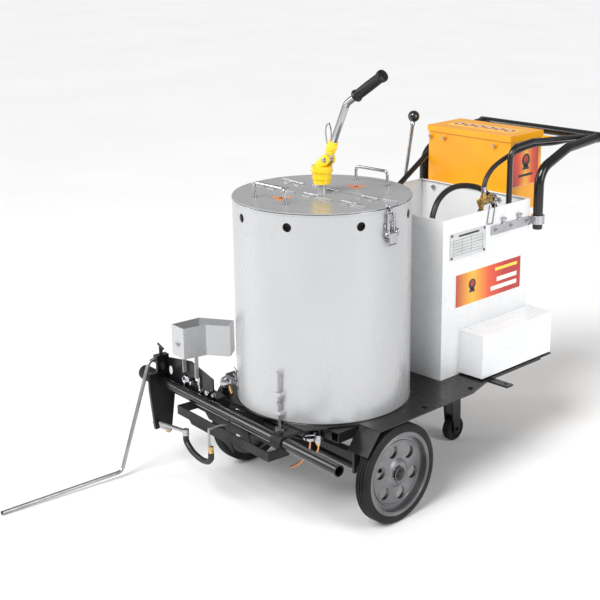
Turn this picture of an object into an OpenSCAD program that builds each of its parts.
// Hand-pushed thermoplastic road marking machine.
// +Z is up, -Y is the direction of travel, +X is the machine's left side.
// Each part is drawn from the kettle's axis, and placed() moves it to the row's origin on the ground.

/* [Chassis] */
// Thickness of the deck plate
deck_t = 4; // [3:1:8]
// Half width of the deck beside the kettle
deck_half = 329; // [325:1:360]
// Half width of the deck under the boxes
deck_rear_half = 289; // [280:1:310]
// Distance from the kettle's axis to the deck's rear edge
deck_back = 760; // [750:5:820]
// Side of the square rail tube
rail_w = 30; // [20:1:40]
// Wall of the rail tube
rail_wall = 3; // [2:0.5:4]

/* [Wheels] */
// Radius of the two main wheels
wheel_r = 150; // [120:1:190]
// Width of the main wheels
wheel_w = 43; // [36:1:60]
// Thickness of the rubber on the main wheels
tyre_t = 24; // [14:1:34]
// Distance of the axle behind the kettle's axis
axle_y = -21; // [-60:1:60]
// Radius of the main axle
axle_r = 10; // [8:0.5:14]
// Radius of the caster wheel
caster_r = 40; // [34:1:50]
// Width of the caster wheel
caster_w = 26; // [20:1:34]
// Distance of the caster behind the kettle's axis
caster_y = 520; // [460:5:600]
// Sideways place of the caster
caster_x = 60; // [0:5:120]

/* [Kettle] */
// Outer radius of the kettle's jacket
kettle_r = 260; // [200:1:285]
// Height of the jacket
kettle_h = 610; // [450:5:760]
// Wall of the jacket
jacket_wall = 3; // [2:0.5:5]
// Gap between the jacket and the pot inside it
flue_gap = 30; // [20:1:40]
// Thickness of the lid plates
lid_t = 4; // [3:1:6]
// Width of the fixed strip across the lid
bridge_w = 84; // [60:2:110]
// Radius of the vent holes round the jacket
vent_r = 13; // [8:1:18]

/* [Boxes] */
// Height of the gas cylinder box
gas_h = 504; // [360:2:620]
// Length of the gas cylinder box
gas_len = 430; // [360:5:430]
// Sheet thickness of the boxes
sheet_t = 3; // [2:0.5:4]
// Height of the side box
side_h = 138; // [100:2:200]
// Length of the side box
side_len = 354; // [240:2:360]
// Width of the side box
side_w = 92; // [70:2:120]
// Width of the bead hopper
hopper_w = 342; // [260:2:380]
// Depth of the bead hopper
hopper_d = 168; // [120:2:200]
// Height of the bead hopper
hopper_h = 255; // [160:5:320]

/* [Handles] */
// Radius of the push handle's tube
handle_r = 16; // [12:0.5:20]
// Height of the push handle's posts
post_h = 194; // [140:2:260]
// Reach of the push handle behind its posts
handle_reach = 330; // [260:5:420]
// Radius of the thin brace tubes
brace_r = 9; // [6:0.5:12]
// Radius of the ball on the lift lever
ball_r = 20; // [14:1:26]
// Length of the lift lever from its pivot to the ball
lever_len = 798; // [640:4:860]

/* [Front carriage] */
// Angle between the front carriage and the axle
carriage_skew = 5.6; // [0:0.1:8]
// Distance of the slide tube in front of the kettle's axis
carriage_y = 297; // [296:1:330]
// Radius of the slide tube
slide_r = 17; // [14:0.5:20]
// Reach of the slide tube on the left side
slide_left = 396; // [340:2:460]
// Reach of the slide tube on the right side
slide_right = 575; // [520:5:640]
// Length of the marking shoe
shoe_len = 460; // [300:5:470]
// Width of the marking shoe
shoe_w = 75; // [60:1:78]
// Height of the marking shoe
shoe_h = 28; // [20:1:34]
// Reach of the arms from their shaft to the shoe
arm_reach = 166; // [160:1:175]
// Radius of the guide rod
guide_r = 6; // [4:0.5:8]
// Reach of the guide rod in front of its clamp
guide_reach = 590; // [400:5:700]

/* [Fits] */
// Radial clearance of a running fit
run_gap = 0.1; // [0.05:0.01:0.1]
// Clearance between faces that move past each other
face_gap = 0.5; // [0.3:0.1:1]

/* [Hidden] */
$fn = 48;

// Heights
wheel_gap = 3;
deck_low = 2 * wheel_r + wheel_gap;
deck_top = deck_low + deck_t;
kettle_top = deck_top + kettle_h;
lid_top = kettle_top + lid_t;
rail_low = deck_low - rail_w;

// Sideways places
rail_x = 235;
wheel_x = deck_half + wheel_gap + 1 - wheel_w / 2;
gas_left = 197;
gas_right = -258;
gas_front = 312;
gas_back = gas_front + gas_len;
gas_top = deck_top + gas_h;
hopper_y = gas_back + 4;
hopper_x = -62;
hopper_top = gas_top + 189;
side_low = deck_top + 6;
side_back = gas_back + 12;
lid_pin_r = 1.5;
barrel_r = 3;
side_pin = [gas_left + 0.5 + barrel_r, side_low + side_h - 3.7 + barrel_r];
hopper_pin = [hopper_d + 4 + barrel_r - 0.2, hopper_top - 17];

// Front carriage, in its own directions
slide_z = deck_low - 18;
pin_y = shoe_w - 22;
arm_y = pin_y + arm_reach;
arm_z = slide_z - 120;
shoe_mid = -91;
shoe_top = slide_z - slide_r - 8;
pin_z = shoe_top - 8;
guide_x = -478;
guide_z = slide_z + 74;
crank = 45;
lever_x = -296;
lever_y = 579;
lever_z = deck_low - 63;
lever_lean = 11.5;
link_x = -268;
crank_gap = 14;
arm_xs = [-230, 30];
grip_r = 23;

// Push handle
post_mid = (gas_left + gas_right) / 2;
post_half = (gas_left - gas_right) / 2 + 13;
post_x = post_mid + post_half;
post_far = post_mid - post_half;
post_y = gas_back + 26;
handle_z = gas_top - 99 + post_h;
handle_top = handle_z + 58;
handle_y = post_y + handle_reach;

// The row's origin is under the middle of the whole machine
side_min = -slide_right * cos(carriage_skew) - grip_r * sin(carriage_skew);
side_max = slide_left * cos(carriage_skew) + slide_r * sin(carriage_skew);
front_min = -carriage_y + sin(carriage_skew) * -guide_x - cos(carriage_skew) * (guide_reach - 24)
    - guide_r * sin(carriage_skew);
back_max = handle_y + handle_r;
mid_x = (side_min + side_max) / 2;
mid_y = (front_min + back_max) / 2;

// Moves a part from the kettle's axis to the row's origin
module placed() translate([-mid_x, -mid_y, 0]) children();

// The front carriage's own directions: its slide tube lies along X at y = 0
module carriage() placed() translate([0, -carriage_y, 0]) rotate([0, 0, -carriage_skew]) children();

function unit(v) = v / norm(v);

// Points of a round bend of radius r at b, between a and c
function bend(a, b, c, r, n) =
    let (u = unit(a - b), w = unit(c - b), half = acos(u * w) / 2, m = unit(u + w),
         o = b + m * r / sin(half), p = b + u * r / tan(half) - o, q = b + w * r / tan(half) - o,
         turn = 180 - 2 * half)
    [for (i = [0:n]) o + (p * sin((1 - i / n) * turn) + q * sin(i / n * turn)) / sin(turn)];

// A route through straight runs with every inner corner rounded
function route(p, r, n = 5) = concat([p[0]],
    [for (i = [1:len(p) - 2]) each bend(p[i - 1], p[i], p[i + 1], r, n)], [p[len(p) - 1]]);

// A smooth curve through every point
function curve(p, n = 4) = [for (i = [0:len(p) - 2], k = [0:n - (i == len(p) - 2 ? 0 : 1)])
    let (t = k / n, a = p[max(i - 1, 0)], b = p[i], c = p[i + 1], d = p[min(i + 2, len(p) - 1)])
    b + (c - a) * t / 2 + (2 * a - 5 * b + 4 * c - d) * t * t / 2
    + (3 * b - a - 3 * c + d) * t * t * t / 2];

function tangents(p) = [for (i = [0:len(p) - 1]) unit(p[min(i + 1, len(p) - 1)] - p[max(i - 1, 0)])];
function sides_of(t, i, x) = i == len(t) ? [] :
    let (y = unit(x - (x * t[i]) * t[i])) concat([y], sides_of(t, i + 1, y));

// A round rod or hose along the points p
module sweep(p, r, n = 12) {
    t = tangents(p);
    x = sides_of(t, 0, cross(t[0], abs(t[0].z) < 0.8 ? [0, 0, 1] : [1, 0, 0]));
    last = len(p) - 1;
    polyhedron(
        points = [for (i = [0:last], k = [0:n - 1])
            p[i] + r * (cos(k * 360 / n) * x[i] + sin(k * 360 / n) * cross(t[i], x[i]))],
        faces = concat([[for (k = [0:n - 1]) k]], [[for (k = [n - 1:-1:0]) last * n + k]],
            [for (i = [0:last - 1], k = [0:n - 1]) let (j = (k + 1) % n)
                each [[i * n + k, (i + 1) * n + k, (i + 1) * n + j],
                    [i * n + k, (i + 1) * n + j, i * n + j]]]),
        convexity = 8);
}

// A cylinder along X from x = a to x = b
module x_rod(a, b, r) translate([a, 0, 0]) rotate([0, 90, 0]) cylinder(r = r, h = b - a);
// A cylinder along Y from y = a to y = b
module y_rod(a, b, r) translate([0, a, 0]) rotate([-90, 0, 0]) cylinder(r = r, h = b - a);
// A box between two corners
module span(a, b) translate(a) cube(b - a);

// ---- Chassis ----
flap_y = 107;
module deck_outline() {
    front = carriage_y - 47;
    polygon(concat(
        [[deck_half, -flap_y], [deck_half, 308], [deck_rear_half, 457], [deck_rear_half, deck_back]],
        [[-deck_rear_half, deck_back], [-deck_rear_half, 457], [-deck_half, 308], [-deck_half, -flap_y]],
        [[-deck_half + 78, -flap_y], [-170, -front], [170, -front], [deck_half - 78, -flap_y]]));
}

module fender(side) {
    mirror([side < 0 ? 1 : 0, 0, 0])
        translate([deck_half - 77, 2 - flap_y, deck_top - 0.5]) rotate([50, 0, 0])
            translate([0, -82, -deck_t]) cube([76, 82, deck_t]);
}

hose_x = 120;
hose_y = 345;
outlet_y = -125;
module deck_plate() placed() color("dimgray") {
    difference() {
        translate([0, 0, deck_low]) linear_extrude(deck_t) deck_outline();
        translate([0, outlet_y, deck_low - 1]) cylinder(r = 30, h = deck_t + 2);
        translate([0, 40, deck_low - 1]) cylinder(r = 90, h = deck_t + 2);
        translate([hose_x, hose_y, deck_low - 1]) cylinder(r = 12, h = deck_t + 2);
    }
    for (s = [-1, 1]) fender(s);
}

module rail(len) difference() {
    cube([rail_w, len, rail_w]);
    translate([rail_wall, -1, rail_wall]) cube([rail_w - 2 * rail_wall, len + 2, rail_w - 2 * rail_wall]);
}

module side_rails() placed() color("dimgray") for (s = [-1, 1])
    translate([s * rail_x - rail_w / 2, -190, rail_low]) rail(deck_back + 190);

tab_x = 350;
tab_hole_r = 6;
module cross_members() placed() color("dimgray") {
    inner = rail_x - rail_w / 2;
    for (y = [-190, 300, deck_back - rail_w])
        translate([inner, y, rail_low]) rotate([0, 0, 90]) rail(2 * inner);
    for (s = [-1, 1]) difference() {
        translate([s > 0 ? rail_x + rail_w / 2 : -tab_x - 17, 425, deck_low - 6])
            cube([tab_x + 17 - rail_x - rail_w / 2, 30, 6]);
        translate([s * tab_x, 440, deck_low - 7]) cylinder(r = tab_hole_r, h = 8);
    }
}

module axle_beam() placed() color("dimgray") {
    difference() {
        union() {
            span([-262, axle_y - 15, wheel_r - 15], [262, axle_y + 15, wheel_r + 15]);
            for (s = [-1, 1]) translate([s * rail_x - 5, axle_y - 15, wheel_r + 15])
                cube([10, 50, rail_low - wheel_r - 15]);
        }
        translate([0, axle_y, wheel_r]) x_rod(-270, 270, axle_r + 0.05);
    }
}

module axle() placed() color("silver") translate([0, axle_y, wheel_r]) {
    half = wheel_x + 14;
    x_rod(-half, half, axle_r);
    for (s = [-1, 1]) {
        translate([s * (half + 3), 0, 0]) x_rod(-3, 3, 22);
        translate([s * (wheel_x - 28.5), 0, 0]) x_rod(-3, 3, 18);
    }
}

module wheel_place(side) placed() translate([side * wheel_x, axle_y, wheel_r]) children();

module rim(side) wheel_place(side) color("dimgray") rotate([0, 90, 0]) {
    rim_r = wheel_r - tyre_t;
    difference() {
        union() {
            difference() {
                cylinder(r = rim_r, h = wheel_w - 3, center = true, $fn = 96);
                cylinder(r = rim_r - 12, h = wheel_w + 2, center = true, $fn = 96);
            }
            cylinder(r = rim_r - 5, h = 12, center = true, $fn = 96);
            rotate([0, side < 0 ? 180 : 0, 0]) translate([0, 0, -24]) cylinder(r = 31, h = 35);
        }
        cylinder(r = axle_r + run_gap, h = 80, center = true);
        for (a = [0:60:300]) rotate([0, 0, a + 14]) translate([rim_r * 0.56, 0, -20])
            cylinder(r = 19, h = 40);
    }
}
module rim_left() rim(1);
module rim_right() rim(-1);

module tyre(side) wheel_place(side) color([0.08, 0.08, 0.08]) rotate([0, 90, 0])
    rotate_extrude($fn = 96) {
        low = wheel_r - tyre_t;
        half = wheel_w / 2;
        polygon([[low, -half], [wheel_r - 5, -half], [wheel_r, -half + 5], [wheel_r, half - 5],
            [wheel_r - 5, half], [low, half]]);
    }
module tyre_left() tyre(1);
module tyre_right() tyre(-1);

// ---- Caster ----
fork_top = rail_low - 12;
trail = 26;

module caster_bracket() placed() color("dimgray") {
    inner = rail_x - rail_w / 2;
    difference() {
        union() {
            span([-inner, caster_y - 40, rail_low], [inner, caster_y + 40, rail_low + 8]);
            translate([caster_x, caster_y, fork_top + 1]) cylinder(r = 30, h = 11);
        }
        translate([caster_x, caster_y, fork_top]) cylinder(r = 8 + run_gap, h = 40);
    }
    for (s = [-1, 1]) difference() {
        span([caster_x + s * 24 - 3, caster_y - 54, rail_low - 14],
            [caster_x + s * 24 + 3, caster_y - 39, rail_low + 6]);
        translate([caster_x, caster_y - 46, rail_low - 6]) x_rod(-40, 40, 3 + run_gap);
    }
    for (s = [-1, 1]) span([caster_x + s * 60 - 5, caster_y - 40, rail_low + 8],
        [caster_x + s * 60 + 5, caster_y + 40, deck_low]);
}

module caster_fork() placed() color("gray") translate([caster_x, caster_y, 0]) {
    half = caster_w / 2 + 2;
    translate([0, 0, fork_top - 5]) cylinder(r = 8, h = 28);
    translate([0, 0, fork_top - 6]) cylinder(r = 28, h = 6.5);
    span([-half - 5, -20, fork_top - 12], [half + 5, trail + 14, fork_top - 6]);
    for (s = [-1, 1]) hull() {
        translate([s * (half + 2.5) - 2.5, -18, fork_top - 14]) cube([5, 56, 8]);
        translate([0, trail, caster_r]) x_rod(s * (half + 2.5) - 2.5, s * (half + 2.5) + 2.5, 16, $fn = 32);
    }
    translate([0, trail, caster_r]) x_rod(-half - 12, half + 12, 6);
}

module caster_wheel() placed() color([0.15, 0.15, 0.15]) translate([caster_x, caster_y + trail, caster_r])
    rotate([0, 90, 0]) difference() {
        union() {
            cylinder(r = caster_r - 2, h = caster_w, center = true, $fn = 64);
            for (z = [-9, 0, 9]) translate([0, 0, z]) cylinder(r = caster_r, h = 4, center = true, $fn = 64);
        }
        cylinder(r = 6 + run_gap, h = caster_w + 2, center = true);
        for (s = [-1, 1]) translate([0, 0, s * (caster_w / 2)]) difference() {
            cylinder(r = caster_r - 10, h = 6, center = true);
            cylinder(r = 12, h = 8, center = true);
        }
    }

module brake_pedal() placed() color([0.1, 0.1, 0.1])
    translate([caster_x, caster_y - 46, rail_low - 6]) {
        x_rod(-20, 20, 6);
        x_rod(-27, 27, 3);
        for (x = [-14, 14]) hull() {
            translate([x, 0, 0]) x_rod(-3, 3, 6, $fn = 32);
            translate([x, -54, -96]) x_rod(-3, 3, 6, $fn = 32);
        }
        translate([-22, -76, -112]) rotate([28, 0, 0]) cube([44, 34, 5]);
    }

// ---- Kettle ----
pot_r = kettle_r - flue_gap;
gate_x = 82;
gate_y = -sqrt(kettle_r * kettle_r - gate_x * gate_x) - 12;
gate_r = 4;

module kettle_jacket() placed() color("gainsboro") {
    difference() {
        translate([0, 0, deck_top]) cylinder(r = kettle_r, h = kettle_h, $fn = 128);
        translate([0, 0, deck_top - 1]) cylinder(r = kettle_r - jacket_wall, h = kettle_h + 2, $fn = 128);
        for (a = [-66.6:45.9:260]) rotate([0, 0, a]) translate([0, 0, kettle_top - 38])
            x_rod(kettle_r - 20, kettle_r + 20, vent_r);
        translate([-kettle_r - 40, -60, kettle_top - 160]) cube([80, 60, 80]);
    }
    for (z = [deck_top + 28, deck_top + 84]) difference() {
        translate([gate_x - 12, gate_y - 9, z]) cube([24, 26, 8]);
        translate([0, 0, z - 1]) cylinder(r = kettle_r - 1, h = 10, $fn = 128);
        translate([gate_x, gate_y, z - 1]) cylinder(r = gate_r + run_gap, h = 10);
    }
}

module inner_pot() placed() color("darkgray") difference() {
    union() {
        translate([0, 0, deck_top + 60]) cylinder(r = pot_r, h = kettle_h - 60, $fn = 96);
        translate([0, outlet_y, deck_low - 20]) cylinder(r = 26, h = 100);
        difference() {
            translate([0, 0, kettle_top - 6]) cylinder(r = kettle_r - jacket_wall - 0.2, h = 6, $fn = 128);
            translate([0, 0, kettle_top - 7]) cylinder(r = pot_r - 1, h = 8, $fn = 96);
        }
    }
    translate([0, 0, deck_top + 65]) cylinder(r = pot_r - 5, h = kettle_h, $fn = 96);
    translate([0, outlet_y, deck_low - 21]) cylinder(r = 21, h = 120);
}

module burner_ring() placed() color("dimgray") translate([0, 40, 0]) {
    translate([0, 0, deck_top + 16]) rotate_extrude() translate([70, 0]) circle(r = 9, $fn = 24);
    for (a = [0:120:240]) rotate([0, 0, a + 30]) span([60, -8, deck_top], [100, 8, deck_top + 8]);
    translate([0, -84, deck_low - 18]) y_rod(0, 22, 7);
    translate([0, -62, deck_low - 18]) cylinder(r = 7, h = 36);
}

// ---- Lid ----
half_gap = 1.5;
pivot_z = lid_top + 3;
hinge_xs = [for (i = [-1:1]) i * 150];
boss_r = 13;
shaft_r = 8;

module lid_disc(r, h) translate([0, 0, kettle_top]) cylinder(r = r, h = h, $fn = 128);

module lid_bridge() placed() color("lightgray") {
    difference() {
        union() {
            intersection() {
                lid_disc(kettle_r - 2, lid_t);
                span([-kettle_r, -bridge_w / 2, kettle_top], [kettle_r, bridge_w / 2, lid_top]);
            }
            translate([0, 0, lid_top]) cylinder(r = boss_r, h = 28);
        }
        translate([0, 0, kettle_top - 1]) cylinder(r = shaft_r + run_gap, h = 80);
    }
}

module lid_half(s) placed() color("lightgray") difference() {
    lid_disc(kettle_r, lid_t);
    span([-kettle_r - 1, s > 0 ? -kettle_r - 1 : -bridge_w / 2 - half_gap, kettle_top - 1],
        [kettle_r + 1, s > 0 ? bridge_w / 2 + half_gap : kettle_r + 1, lid_top + 1]);
}

module lid_leaf(s) placed() color("lightgray") for (x = hinge_xs)
    translate([x, s * bridge_w / 2, 0]) difference() {
        union() {
            span([-14, s > 0 ? half_gap : -24, lid_top], [14, s > 0 ? 24 : -half_gap, lid_top + 2]);
            translate([0, 0, pivot_z]) x_rod(-14, 14, 3);
        }
        translate([0, 0, pivot_z]) x_rod(-20, 20, 1.5 + run_gap);
    }

module lid_front() { lid_half(-1); lid_leaf(-1); }
module lid_rear() { lid_half(1); lid_leaf(1); }

module lid_hinges() placed() color("white") for (s = [-1, 1], x = hinge_xs)
    translate([x, s * bridge_w / 2, 0]) {
        translate([0, 0, pivot_z]) x_rod(-31, 31, 1.5);
        for (e = [-1, 1]) difference() {
            union() {
                translate([e * 22.5, 0, pivot_z]) x_rod(-7.5, 7.5, 3);
                span([e * 22.5 - 7.5, s > 0 ? -24 : 0, lid_top],
                    [e * 22.5 + 7.5, s > 0 ? 0 : 24, lid_top + 2]);
            }
        }
    }

module lid_handle(a, b) placed() color("silver")
    sweep(route([a, a + [0, 0, 44], b + [0, 0, 44], b], 12), 4.5, 12);
module lid_handle_front() lid_handle([-100, -172, lid_top], [32, -176, lid_top]);
module lid_handle_rear() lid_handle([-46, 190, lid_top], [76, 196, lid_top]);

// ---- Toggle latch on the left side ----
latch_z = kettle_top - 70;
module latch_base() placed() color("silver") {
    rotate([0, 0, 1]) {
        difference() {
            span([kettle_r - 4, -26, latch_z - 12], [kettle_r + 3, 26, latch_z + 30]);
            translate([0, 0, latch_z - 20]) cylinder(r = kettle_r + 0.2, h = 60, $fn = 128);
        }
        for (y = [-23, 17]) span([kettle_r + 2, y, latch_z - 8], [kettle_r + 16, y + 6, latch_z + 12]);
        translate([kettle_r + 10, 0, latch_z]) y_rod(-23, 23, 3);
        for (y = [-21, 17]) span([kettle_r + 2, y, latch_z + 10], [kettle_r + 6, y + 4, latch_z + 52]);
        span([kettle_r + 2, -21, latch_z + 50], [kettle_r + 6, 21, latch_z + 54]);
    }
}
module latch_lever() placed() color("silver") rotate([0, 0, 1]) {
    difference() {
        union() {
            translate([kettle_r + 10, 0, latch_z]) y_rod(-16, 16, 6);
            span([kettle_r + 12, -16, latch_z - 30], [kettle_r + 15, 16, latch_z + 2]);
        }
        translate([kettle_r + 10, 0, latch_z]) y_rod(-20, 20, 3 + run_gap);
    }
}

// ---- Stirrer ----
cup_z = lid_top + 28 + face_gap;
knuckle = [26, 0, cup_z + 74];
tube_points = [knuckle + [8, 0, 22], [100, 0, 1190], [135, 0, 1213]];
grip_dir = unit([107, 0, 64]);

module stirrer_shaft() placed() color("darkgray") {
    low = deck_top + 80;
    translate([0, 0, low]) cylinder(r = shaft_r, h = cup_z - low);
    for (i = [0:2], s = [-1, 1]) rotate([0, 0, i * 60]) translate([0, 0, low + 12 + i * 90])
        span([s > 0 ? 4 : -pot_r + 25, -4, 0], [s > 0 ? pot_r - 25 : -4, 4, 30]);
}

module stirrer_socket() placed() color("gold") {
    translate([0, 0, cup_z]) cylinder(r1 = 25, r2 = 30, h = 40);
    translate([0, 0, cup_z + 40]) cylinder(r = 31, h = 12);
    difference() {
        hull() {
            translate([0, 0, cup_z + 50]) cylinder(r = 20, h = 10, $fn = 32);
            translate([knuckle.x, 0, knuckle.z]) y_rod(-15, 15, 15, $fn = 32);
        }
        translate([knuckle.x - 18, -7.5, knuckle.z - 18]) cube([60, 15, 60]);
    }
    translate([knuckle.x, 0, knuckle.z]) y_rod(-17, 17, 5);
}

module stirrer_tube() placed() color("silver") {
    difference() {
        union() {
            translate([knuckle.x, 0, knuckle.z]) y_rod(-7, 7, 13);
            span([knuckle.x - 6, -7, knuckle.z + 4], [knuckle.x + 16, 7, knuckle.z + 26]);
        }
        translate([knuckle.x, 0, knuckle.z]) y_rod(-10, 10, 5 + run_gap);
    }
    sweep(route(tube_points, 40), 10, 16);
    sweep(curve([[30, 0, knuckle.z + 20], [24, -3, knuckle.z + 50], [22, -5, knuckle.z + 85],
        [32, -4, knuckle.z + 106], [41, -3, knuckle.z + 84], [37, 0, knuckle.z + 50]], 5), 2.2, 8);
}

module stirrer_grip() placed() color([0.06, 0.06, 0.06]) translate(tube_points[2]) {
    lean = atan2(grip_dir.x, grip_dir.z);
    rotate([0, lean, 0]) {
        translate([0, 0, 0.6]) cylinder(r = 15, h = 118);
        translate([0, 0, 0.6]) cylinder(r = 18, h = 8);
        translate([0, 0, 112]) cylinder(r = 16.5, h = 12);
        for (i = [0:5]) translate([0, 0, 14 + i * 16])
            rotate_extrude() translate([15, 0]) circle(r = 1, $fn = 16);
    }
}

// ---- Discharge gate and chute ----
module gate() placed() color("silver") {
    translate([gate_x, gate_y, deck_low - 30]) cylinder(r = gate_r, h = 188);
    translate([gate_x, gate_y, deck_low + 156]) x_rod(-9, 9, 3);
    translate([gate_x, gate_y, deck_low + 60]) cylinder(r = 7, h = 8);
    span([gate_x - 16, gate_y - 3, deck_low - 36], [gate_x + 16, gate_y + 3, deck_low - 10]);
}

module chute() carriage() color("gainsboro") {
    wall = 3;
    out = [[-355, -30], [-290, -30], [-280, 44], [-222, 92], [-262, 136], [-355, 70]];
    inn = [[-352, -27], [-293, -27], [-283, 46], [-227, 92], [-263, 132], [-352, 68]];
    difference() {
        translate([0, 0, slide_z + 128]) linear_extrude(96) polygon(out);
        translate([0, 0, slide_z + 127]) linear_extrude(98) polygon(inn);
    }
    for (x = [-355, -288]) span([x, 4, slide_z + 60], [x + wall, 16.8, slide_z + 129]);
}

// ---- Gas box, side box and bead hopper ----
module gas_box() placed() color("white") difference() {
    span([gas_right, gas_front, deck_top], [gas_left, gas_back, gas_top]);
    span([gas_right + sheet_t, gas_front + sheet_t, deck_top + sheet_t],
        [gas_left - sheet_t, gas_back - sheet_t, gas_top + 1]);
    translate([hose_x, hose_y, deck_top - 1]) cylinder(r = 12, h = sheet_t + 2);
}

module side_box() placed() color("white") difference() {
    union() {
        span([gas_left, side_back - side_len, side_low], [gas_left + side_w, side_back, side_low + side_h - 4]);
        for (y = [side_back - side_len - 4, side_back - 0.3])
            span([side_pin.x - 3, y, side_pin.y - 12], [side_pin.x + 3, y + 4.3, side_pin.y + 3]);
        translate([side_pin.x, 0, side_pin.y]) y_rod(side_back - side_len - 4, side_back + 4, lid_pin_r);
    }
    span([gas_left + sheet_t, side_back - side_len + sheet_t, side_low + sheet_t],
        [gas_left + side_w - sheet_t, side_back - sheet_t, side_low + side_h]);
}

module side_box_lid() placed() color("white") difference() {
    union() {
        span([side_pin.x, side_back - side_len + 0.5, side_low + side_h - 3.7],
            [gas_left + side_w, side_back - 1.5, side_low + side_h]);
        translate([side_pin.x, 0, side_pin.y]) y_rod(side_back - side_len + 0.5, side_back - 1.5, barrel_r);
    }
    translate([side_pin.x, 0, side_pin.y]) y_rod(side_back - side_len - 1, side_back, lid_pin_r + run_gap);
}

module bead_hopper() placed() color("orange") translate([hopper_x, hopper_y, 0]) {
    half = hopper_w / 2;
    low = hopper_top - hopper_h;
    difference() {
        union() {
            span([-half, 0, low], [half, hopper_d, hopper_top - 2.3]);
            translate([0, hopper_d / 2, low - 30]) cylinder(r = 24, h = 32);
        }
        span([-half + sheet_t, sheet_t, low + sheet_t], [half - sheet_t, hopper_d - sheet_t, hopper_top]);
        translate([0, hopper_d / 2, low - 31]) cylinder(r = 20, h = 60);
    }
    for (x = [-half + 24, half - 40]) span([x, -4, gas_top - 60], [x + 16, 0, gas_top - 2]);
    for (x = [-47, 41]) {
        span([x, hopper_d - 1, hopper_top - 36], [x + 6, hopper_d + 9.2, hopper_top - 26]);
        span([x, hopper_d + 4.4, hopper_top - 30], [x + 6, hopper_d + 9.2, hopper_pin.y]);
        translate([0, hopper_pin.x, hopper_pin.y]) x_rod(x, x + 6, 2.6);
    }
    translate([0, hopper_pin.x, hopper_pin.y]) x_rod(-44, 44, lid_pin_r);
}

module hopper_lid() placed() color("orange") translate([hopper_x, hopper_y, 0]) {
    half = hopper_w / 2 + 4;
    difference() {
        union() {
            span([-half, -4, hopper_top - 20], [half, hopper_d + 4, hopper_top]);
            translate([0, hopper_pin.x, hopper_pin.y]) x_rod(-40, 40, barrel_r);
        }
        translate([0, hopper_pin.x, hopper_pin.y]) x_rod(-50, 50, lid_pin_r + run_gap);
        span([-half + 2, -2, hopper_top - 21], [half - 2, hopper_d + 2, hopper_top - 2]);
    }
}

// ---- Push handle ----
module tube_along(p, wide, r, wall, n) difference() {
    sweep(route(p, wide), r, n);
    sweep(route(concat([p[0] + unit(p[0] - p[1])], [for (i = [1:len(p) - 2]) p[i]],
        [p[len(p) - 1] + unit(p[len(p) - 1] - p[len(p) - 2])]), wide), r - wall, n);
}

module handle_posts() placed() color([0.1, 0.1, 0.1]) for (x = [post_far, post_x])
    tube_along([[x, post_y, gas_top - 99], [x, post_y, handle_z - 8],
        [x, post_y + 150, handle_z + 46], [x, handle_y - 5, handle_top]], 70, handle_r, 2.5, 16);

module handle_crossbar() placed() color([0.1, 0.1, 0.1]) translate([0, handle_y, handle_top]) difference() {
    union() {
        x_rod(post_far - handle_r + 2, post_x + handle_r - 2, handle_r);
        translate([squeeze_at.x, 0, 0]) difference() {
            span([-8, squeeze_at.y - handle_y - 8, -34], [8, -8, -6]);
            span([-9, squeeze_at.y - handle_y - 5.5, -35], [9, squeeze_at.y - handle_y + 4, -10]);
        }
        translate([squeeze_at.x, squeeze_at.y - handle_y, -22]) y_rod(-8, 6, 4);
    }
    x_rod(post_far - 20, post_x + 20, handle_r - 2.5);
    for (x = [post_far, post_x]) translate([x, 0, 0]) y_rod(-40, -3.6, handle_r + 1.3);
}

module brace_tubes() placed() color([0.1, 0.1, 0.1]) {
    near = gas_left - sheet_t - brace_r;
    far = gas_right + sheet_t + brace_r + 0.3;
    end_y = handle_y - handle_r - 0.3;
    sweep(route([[near, 645, deck_top + 5], [near, 645, handle_top + 20], [near, 760, handle_top + 28],
        [post_x - 26, end_y, handle_top + 2]], 38), brace_r, 12);
    sweep(route([[far, 585, deck_top + 5], [far, 590, gas_top - 11],
        [far, 800, handle_top - 39], [far, end_y, handle_top]], 30), brace_r, 12);
}

clamp_z = gas_top - 70;
module handle_clamps() placed() color("gray") for (s = [-1, 1]) {
    x = s > 0 ? gas_left : gas_right;
    post = s > 0 ? post_x : post_far;
    mirror([s < 0 ? 1 : 0, 0, 0]) translate([abs(x), 0, 0]) {
        span([0, 540, clamp_z - 14], [5, gas_back, clamp_z + 14]);
        span([0, gas_back, clamp_z - 9], [5, post_y - handle_r + 1, clamp_z + 9]);
    }
    difference() {
        translate([post, post_y, clamp_z - 14]) cylinder(r = handle_r + 6, h = 28);
        translate([post, post_y, clamp_z - 15]) cylinder(r = handle_r + 0.05, h = 30);
    }
}

squeeze_at = [126, handle_y - 28, handle_top - 22];
module squeeze_lever() placed() color("darkorange") translate(squeeze_at) difference() {
    union() {
        span([-150, -5, -7], [16, 3, 7]);
        y_rod(-5, 3, 11);
    }
    y_rod(-10, 10, 4 + run_gap);
}

// ---- Gas supply ----
valve_at = [gas_left - 34, 545, gas_top + 20];
module brass_valve() placed() color("goldenrod") translate(valve_at) {
    difference() {
        union() {
            y_rod(-22, 34, 11);
            y_rod(-4, 12, 14);
            cylinder(r = 8, h = 26);
            translate([0, -12, -26]) cylinder(r = 8, h = 20);
        }
        y_rod(24, 40, 4 + run_gap);
    }
    for (y = [-16, 12]) {
        translate([0, y + 4, 0]) rotate([90, 0, 0]) linear_extrude(4)
            polygon([[4, -2], [34.2, -2], [34.2, -64], [37.2, -64], [37.2, 2], [4, 2]]);
    }
}

module valve_knob() placed() color("silver") translate(valve_at) {
    y_rod(25, 46, 4);
    y_rod(36, 50, 15);
    for (i = [0:7]) rotate([0, i * 45 + 20, 0]) translate([14, 0, 0]) y_rod(37, 49, 3);
}

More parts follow.
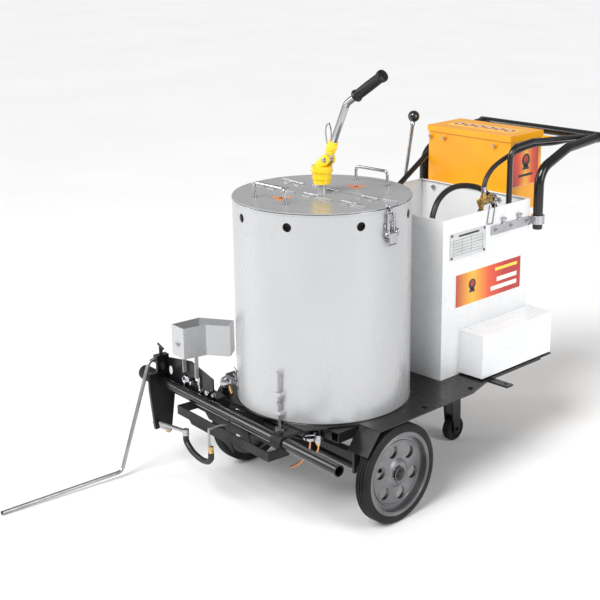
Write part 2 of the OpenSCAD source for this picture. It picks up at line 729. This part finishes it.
module gas_hoses() placed() color([0.07, 0.07, 0.07]) {
    sweep(concat([valve_at + [0, -12, -26.3]], curve([valve_at + [0, -12, -44], [156, 545, gas_top - 51],
        [146, 590, gas_top - 89], [126, 650, gas_top - 81], [110, 668, gas_top - 21],
        [102, 600, gas_top + 42], [100, 485, gas_top + 65], [104, 400, gas_top + 39],
        [112, 356, gas_top - 31], [118, 347, gas_top - 131], [hose_x, hose_y, 500],
        [hose_x, hose_y, deck_low - 8]])), 9, 10);
    sweep(concat([valve_at + [0, 0, 26.3]], curve([valve_at + [0, 0, 44], [161, 560, handle_top - 62],
        [160, 600, handle_top - 32], [162, 680, handle_top - 6], [163, 790, handle_top + 8],
        [163, 900, handle_top], [164, 1000, handle_top - 2], [164, handle_y - handle_r - 14, handle_top],
        [164, handle_y - handle_r - 0.3, handle_top]])), 7.5, 10);
}

module burner_hose() carriage() color([0.07, 0.07, 0.07])
    sweep(concat([hose_start + [0, 0, -6.3]], curve([hose_start + [0, 0, -20], [-218, -75, 174],
        [-190, -75, 158], [-145, -75, 150], [-112, -75, 156], nozzle_at + [0, 0, -30]], 5),
        [nozzle_at + [0, 0, -13.3]]), 9, 10);

// ---- Front carriage ----
module slide_tube() carriage() color([0.1, 0.1, 0.1]) translate([0, 0, slide_z]) difference() {
    union() {
        x_rod(-slide_right + 70, slide_left, slide_r);
        x_rod(-slide_right, -slide_right + 74, grip_r);
    }
    x_rod(-slide_right + 70, slide_left + 1, slide_r - 3);
}

module slide_sleeve() {
    carriage() color("saddlebrown") difference() {
        union() {
            translate([0, 0, slide_z]) x_rod(120, 165, slide_r + 5);
            span([126, 10, deck_low - 8], [156, 75, deck_low]);
            translate([142, 0, slide_z + slide_r]) cylinder(r = 7, h = 12);
        }
        translate([0, 0, slide_z]) x_rod(110, 180, slide_r + 0.05);
    }
}

module end_bracket() carriage() color([0.1, 0.1, 0.1]) {
    x = -470;
    difference() {
        translate([x, 0, 0]) rotate([90, 0, 90]) linear_extrude(10)
            polygon([[-52, slide_z + 34], [40, slide_z + 34], [40, slide_z - 40], [24, slide_z - 152],
                [-38, slide_z - 152], [-52, slide_z - 20]]);
        translate([0, 0, slide_z]) x_rod(x - 5, x + 20, slide_r + 0.05);
        translate([0, -24, slide_z - 138]) x_rod(x - 5, x + 20, 7.05);
    }
    difference() {
        union() {
            span([guide_x - 11, -18, guide_z - 12], [guide_x + 11, 26, guide_z + 12]);
            span([guide_x + 2, -18, slide_z + 30], [guide_x + 11, 26, guide_z - 8]);
        }
        translate([guide_x, 0, guide_z]) y_rod(-30, 40, guide_r + run_gap);
    }
    translate([guide_x, 4, guide_z + 12]) cylinder(r = 6, h = 24);
    translate([guide_x, 4, guide_z + 38]) rotate([0, 18, 0]) x_rod(-16, 16, 3.5);
}

hanger_x = [-255, 214];
module front_plate() carriage() color([0.12, 0.12, 0.12]) {
    difference() {
        translate([0, 22, 0]) rotate([90, 0, 0]) linear_extrude(5)
            polygon([[-459, slide_z - 10], [-459, slide_z + 78], [-330, slide_z + 100],
                [-212, slide_z + 74], [-212, slide_z - 10]]);
        translate([-300, 0, slide_z + 40]) y_rod(0, 40, 14);
    }
    span([-459, 22, slide_z + 10], [-200, 60, slide_z + 15]);
    span([-214, 22, slide_z - 10], [-206, 86.5, slide_z + 10]);
    for (x = hanger_x) difference() {
        span([x - 4, arm_y - 14, arm_z - 14], [x + 4, arm_y + 10, rail_low]);
        translate([0, arm_y, arm_z]) x_rod(x - 10, x + 10, 9 + run_gap);
    }
}

module guide_rod() carriage() color("gray")
    sweep(route([[guide_x, 24, guide_z], [guide_x, -40, guide_z], [guide_x, -158, 18],
        [guide_x, 24 - guide_reach, guide_r + 1]], 22), guide_r, 12);

// ---- Marking shoe, carried on arms that turn with the lift lever ----
module shoe_box() carriage() color([0.13, 0.13, 0.12]) {
    translate([shoe_mid, 0, 0]) difference() {
        span([-shoe_len / 2, -42, shoe_top - shoe_h], [shoe_len / 2, shoe_w - 42, shoe_top]);
        span([-shoe_len / 2 + 4, -38, shoe_top - shoe_h - 1], [shoe_len / 2 - 4, shoe_w - 46, shoe_top + 1]);
    }
    for (x = arm_xs) difference() {
        span([x + 11, shoe_w - 42, shoe_top - shoe_h], [x + 17, shoe_w - 10, shoe_top + 4]);
        translate([0, shoe_w - 22, shoe_top - 8]) x_rod(x, x + 30, 5 + run_gap);
    }
}

module shoe_blade() carriage() color([0.1, 0.1, 0.1]) {
    x = shoe_mid - shoe_len / 2;
    for (y = [-34, shoe_w - 46]) translate([x + 40, y, 0]) rotate([90, 0, 0]) linear_extrude(4)
        polygon([[0, shoe_top - shoe_h + 12], [230, shoe_top - shoe_h + 12],
            [246, shoe_top - shoe_h - 34], [200, shoe_top - shoe_h - 14], [30, shoe_top - shoe_h - 14]]);
}

crank_at = (link_x + crank_gap - arm_y * sin(carriage_skew)) / cos(carriage_skew);
module rock_shaft() carriage() color("gray") {
    translate([0, arm_y, arm_z]) x_rod(crank_at - 3, 222, 9);
    for (x = arm_xs) {
        hull() {
            translate([0, arm_y, arm_z]) x_rod(x - 5, x + 5, 14, $fn = 32);
            translate([0, pin_y, pin_z]) x_rod(x - 5, x + 5, 9, $fn = 32);
        }
        translate([0, pin_y, pin_z]) x_rod(x, x + 22, 5);
    }
    hull() {
        translate([0, arm_y, arm_z]) x_rod(crank_at - 3, crank_at + 3, 13, $fn = 32);
        translate([0, arm_y, arm_z + crank]) x_rod(crank_at - 3, crank_at + 3, 10, $fn = 32);
    }
    translate([0, arm_y, arm_z + crank]) x_rod(crank_at - crank_gap - 8, crank_at, 5);
}

// Far end of the crank, seen from the kettle's axis
crank_y = -carriage_y - (crank_at - crank_gap) * sin(carriage_skew) + arm_y * cos(carriage_skew);

module link_rod() placed() color("gray") {
    low = [link_x, crank_y, arm_z + crank];
    high = [link_x, lever_y, lever_z + crank];
    difference() {
        union() {
            translate(low) x_rod(-5, 3, 13);
            translate(high) x_rod(-5, 5, 12);
            sweep([low + unit(high - low) * 9, high - unit(high - low) * 9], 5, 12);
        }
        translate(low) x_rod(-10, 10, 7);
        translate(high) x_rod(-10, 10, 5 + run_gap);
    }
}

module lift_lever() placed() color("silver") translate([0, lever_y, lever_z]) {
    difference() {
        union() {
            x_rod(lever_x - 8, lever_x + 8, 15);
            rotate([-lever_lean, 0, 0]) translate([lever_x, 0, 10]) cylinder(r = 6, h = lever_len - 12);
            hull() {
                x_rod(lever_x - 3, lever_x + 5, 12, $fn = 32);
                translate([0, 0, crank]) x_rod(lever_x - 3, lever_x + 5, 10, $fn = 32);
            }
        }
        x_rod(lever_x - 10, lever_x + 10, 7 + run_gap);
    }
    translate([0, 0, crank]) x_rod(lever_x, link_x + 8, 5);
}

module lever_knob() placed() color([0.05, 0.05, 0.05]) translate([lever_x, lever_y, lever_z])
    rotate([-lever_lean, 0, 0]) translate([0, 0, lever_len]) difference() {
        sphere(r = ball_r);
        translate([0, 0, -ball_r - 1]) cylinder(r = 6.05, h = ball_r - 1);
    }

module lever_bracket() placed() color([0.1, 0.1, 0.1]) {
    x = lever_x - 10;
    span([x - 8, lever_y - 16, lever_z - 16], [x, lever_y + 64, deck_low]);
    span([x - 1, lever_y + 36, deck_low - 6], [-rail_x - rail_w / 2, lever_y + 64, deck_low]);
    translate([0, lever_y, lever_z]) {
        x_rod(x - 2, lever_x + 11, 7);
        x_rod(lever_x + 9, lever_x + 13, 11);
    }
}

// ---- Burner pipe and pilot ----
hose_start = [-228, -75, slide_z - 78];
nozzle_at = [-96, -75, slide_z - 84];
module burner_pipe() carriage() color("silver") {
    translate([0, -24, slide_z - 138]) x_rod(-478, -421, 7);
    sweep(route([[-421, -24, slide_z - 138], [-400, -24, slide_z - 138], [-372, -75, slide_z - 90],
        hose_start + [0, 0, 6]], 14), 6, 12);
    translate(hose_start + [0, 0, -6]) cylinder(r = 10, h = 20);
    translate(nozzle_at + [0, 0, -13]) cylinder(r = 8, h = 22);
    span(nozzle_at + [-4, -6, 9], [nozzle_at.x + 4, nozzle_at.y - 2, slide_z - slide_r - 2]);
    span([nozzle_at.x - 4, nozzle_at.y - 6, slide_z - slide_r - 5], [nozzle_at.x + 4, 6, slide_z - slide_r]);
    translate([-478, -24, slide_z - 138]) x_rod(-6, 0, 11);
}

module copper_loop() placed() color("chocolate") {
    sweep(curve([[150, -204, 261.7], [148, -206, 228], [120, -212, 182], [84, -214, 156], [72, -206, 150],
        [82, -198, 158], [118, -194, 184], [158, -196, 214], [178, -200, 236], [180, -200, 257.7]], 4), 3, 8);
}

module pilot_parts() {
    translate([150, -204, 262]) cylinder(r = 20, h = 7);
    span([146, -208, 269], [156, -196, deck_low]);
    translate([180, -200, 258]) cylinder(r = 10, h = 24);
    span([176, -204, 281], [184, -196, deck_low]);
}

module label_plates() placed() {
    color("silver") span([gas_left, 344, gas_top - 128], [gas_left + 1, 516, gas_top - 46]);
    color("orangered") span([gas_left, 372, gas_top - 286], [gas_left + 1, 702, gas_top - 177]);
    color("orangered") span([hopper_x + hopper_w / 2, hopper_y + 16, hopper_top - 172],
        [hopper_x + hopper_w / 2 + 1, hopper_y + hopper_d - 16, hopper_top - 26]);
}

module stud(p, r, h) translate(p) cylinder(r = r, h = h);

module fasteners() {
    placed() color("silver") {
        for (x = [-160, -100, 110], z = hopper_top - 36)
            translate([hopper_x + x, hopper_y, z]) y_rod(-12, 0, 5);
        for (x = [-hopper_w / 2 + 32, hopper_w / 2 - 32])
            translate([hopper_x + x, gas_back - sheet_t, gas_top - 20]) y_rod(-8, 0, 7);
        for (y = [600, 680]) stud([gas_left + 5, y, clamp_z + 14], 4.5, 20);
        for (y = [352, 508], z = [gas_top - 122, gas_top - 52])
            translate([gas_left + 1, y, z]) x_rod(0, 2, 3.5);
        pilot_parts();
        for (y = [326, 726], x = [gas_right + 30, gas_left - 30]) stud([x, y, deck_top + sheet_t], 7, 6);
    }
    carriage() color("silver") {
        translate([-358, 12, slide_z + 34]) rotate([90, 0, 0])
            rotate_extrude() translate([11, 0]) circle(r = 3, $fn = 24);
        translate([-358, 12, slide_z + 17]) cylinder(r = 4, h = 8);
        translate([-358, 0, slide_z + 34]) y_rod(13, 17, 9);
        stud([-278, 13.3, slide_z + 24], 3.5, 40);
        translate([-278, 0, slide_z + 44]) y_rod(9, 17, 5);
        translate([-318, 0, slide_z + 50]) y_rod(-4, 16.9, 9);
        translate([-230, 0, slide_z + 30]) y_rod(4, 16.9, 8);
    }
}

deck_plate();
side_rails();
cross_members();
axle_beam();
axle();
rim_left();
rim_right();
tyre_left();
tyre_right();
caster_bracket();
caster_fork();
caster_wheel();
brake_pedal();
kettle_jacket();
inner_pot();
burner_ring();
lid_bridge();
lid_front();
lid_rear();
lid_handle_front();
lid_handle_rear();
lid_hinges();
latch_base();
latch_lever();
stirrer_shaft();
stirrer_socket();
stirrer_tube();
stirrer_grip();
gate();
chute();
gas_box();
side_box();
side_box_lid();
bead_hopper();
hopper_lid();
handle_posts();
handle_crossbar();
brace_tubes();
handle_clamps();
squeeze_lever();
brass_valve();
valve_knob();
gas_hoses();
burner_hose();
slide_tube();
slide_sleeve();
end_bracket();
front_plate();
guide_rod();
shoe_box();
shoe_blade();
rock_shaft();
link_rod();
lift_lever();
lever_knob();
lever_bracket();
burner_pipe();
copper_loop();
label_plates();
fasteners();
